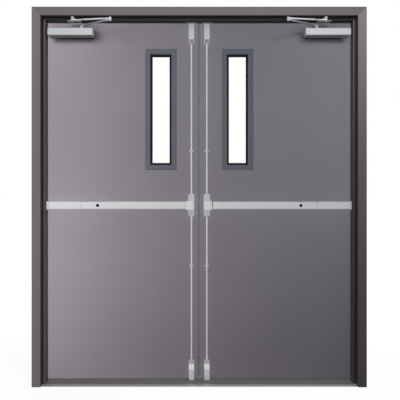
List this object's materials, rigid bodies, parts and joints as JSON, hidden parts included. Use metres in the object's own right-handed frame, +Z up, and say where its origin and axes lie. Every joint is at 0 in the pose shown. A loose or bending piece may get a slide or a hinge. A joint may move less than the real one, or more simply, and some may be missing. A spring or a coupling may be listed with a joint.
{
  "type": "double metal exit door in its frame",
  "caption": "Pair of flush steel exit doors in a pressed-steel frame, with narrow vision lites, push bars with vertical rods, and overhead closers with parallel arms.",
  "frame": {"origin": "floor level at the middle of the opening and of the frame's depth, on the underside of the threshold", "axes": "+X to the right seen from the push side, +Y from the push side to the pull side, which the leaves swing towards, +Z up"},
  "size_m": [1.9304, 0.2025, 2.1908],
  "materials": {
    "frame_paint": "satin grey paint",
    "leaf_paint": "satin grey paint",
    "lite_paint": "satin blue-grey paint",
    "silver": "satin silver paint",
    "zinc": "bright zinc",
    "steel": "brushed",
    "threshold_metal": "mill finish",
    "black_rubber": "matt",
    "clear_glass": "clear"
  },
  "bodies": {
    "frame": {"left_jamb": "frame_paint", "right_jamb": "frame_paint", "frame_head": "frame_paint", "threshold": "threshold_metal", "wall_anchors": "zinc", "floor_anchors": "zinc", "silencers": "black_rubber", "top_strikes": "steel", "frame_hinges": "steel", "closer_brackets": "silver"},
    "left_leaf": {"left_leaf": "leaf_paint", "left_leaf_hinges": "steel", "left_lite_frame": "lite_paint", "left_lite_frame_back": "lite_paint", "left_glazing_seal": "black_rubber", "left_lite_glass": "clear_glass", "left_exit_rail": "silver", "left_centre_case": "silver", "left_rod_guides": "silver", "left_top_latch_case": "silver", "left_bottom_latch_case": "silver", "left_closer_body": "silver"},
    "left_main_arm": {"left_main_arm": "silver"},
    "left_forearm": {"left_forearm": "silver"},
    "left_push_pad": {"left_push_pad": "silver"},
    "left_top_rod": {"left_top_rod": "zinc"},
    "left_bottom_rod": {"left_bottom_rod": "zinc"},
    "right_leaf": {"right_leaf": "leaf_paint", "right_leaf_hinges": "steel", "right_lite_frame": "lite_paint", "right_lite_frame_back": "lite_paint", "right_glazing_seal": "black_rubber", "right_lite_glass": "clear_glass", "right_exit_rail": "silver", "right_centre_case": "silver", "right_rod_guides": "silver", "right_top_latch_case": "silver", "right_bottom_latch_case": "silver", "right_closer_body": "silver"},
    "right_main_arm": {"right_main_arm": "silver"},
    "right_forearm": {"right_forearm": "silver"},
    "right_push_pad": {"right_push_pad": "silver"},
    "right_top_rod": {"right_top_rod": "zinc"},
    "right_bottom_rod": {"right_bottom_rod": "zinc"}
  },
  "joints": [
    {"name": "left_leaf_hinge", "type": "hinge", "parent": "frame", "child": "left_leaf", "pos_m": [-0.9128, 0.08103, 1.068], "axis": [0, 0, 1], "range_deg": [0, 90]},
    {"name": "left_pad_slide", "type": "slide", "parent": "left_leaf", "child": "left_push_pad", "axis": [0, -1, 0], "range_m": [0, 0.014]},
    {"name": "left_top_rod_slide", "type": "slide", "parent": "left_leaf", "child": "left_top_rod", "axis": [0, 0, 1], "range_m": [0, 0.014]},
    {"name": "left_bottom_rod_slide", "type": "slide", "parent": "left_leaf", "child": "left_bottom_rod", "axis": [0, 0, -1], "range_m": [0, 0.01]},
    {"name": "left_main_arm_pivot", "type": "hinge", "parent": "left_leaf", "child": "left_main_arm", "pos_m": [-0.691, -0.00602, 2.09], "axis": [0, 0, 1], "range_deg": [-110, 0]},
    {"name": "left_forearm_pivot", "type": "hinge", "parent": "frame", "child": "left_forearm", "pos_m": [-0.731, -0.06603, 2.112], "axis": [0, 0, 1], "range_deg": [0, 90]},
    {"name": "right_leaf_hinge", "type": "hinge", "parent": "frame", "child": "right_leaf", "pos_m": [0.9128, 0.08103, 1.068], "axis": [0, 0, -1], "range_deg": [0, 90]},
    {"name": "right_pad_slide", "type": "slide", "parent": "right_leaf", "child": "right_push_pad", "axis": [0, -1, 0], "range_m": [0, 0.014]},
    {"name": "right_top_rod_slide", "type": "slide", "parent": "right_leaf", "child": "right_top_rod", "axis": [0, 0, 1], "range_m": [0, 0.014]},
    {"name": "right_bottom_rod_slide", "type": "slide", "parent": "right_leaf", "child": "right_bottom_rod", "axis": [0, 0, -1], "range_m": [0, 0.01]},
    {"name": "right_main_arm_pivot", "type": "hinge", "parent": "right_leaf", "child": "right_main_arm", "pos_m": [0.691, -0.00602, 2.09], "axis": [0, 0, -1], "range_deg": [-110, 0]},
    {"name": "right_forearm_pivot", "type": "hinge", "parent": "frame", "child": "right_forearm", "pos_m": [0.731, -0.06603, 2.112], "axis": [0, 0, -1], "range_deg": [0, 90]}
  ],
  "couplings": [
    {"joint": "left_top_rod_slide", "follows": "left_pad_slide", "ratio": 1},
    {"joint": "left_bottom_rod_slide", "follows": "left_pad_slide", "ratio": 0.71428},
    {"joint": "left_main_arm_pivot", "follows": "left_leaf_hinge", "ratio": -1.185},
    {"joint": "left_forearm_pivot", "follows": "left_leaf_hinge", "ratio": 0.93},
    {"joint": "right_top_rod_slide", "follows": "right_pad_slide", "ratio": 1},
    {"joint": "right_bottom_rod_slide", "follows": "right_pad_slide", "ratio": 0.71428},
    {"joint": "right_main_arm_pivot", "follows": "right_leaf_hinge", "ratio": -1.185},
    {"joint": "right_forearm_pivot", "follows": "right_leaf_hinge", "ratio": 0.93}
  ]
}
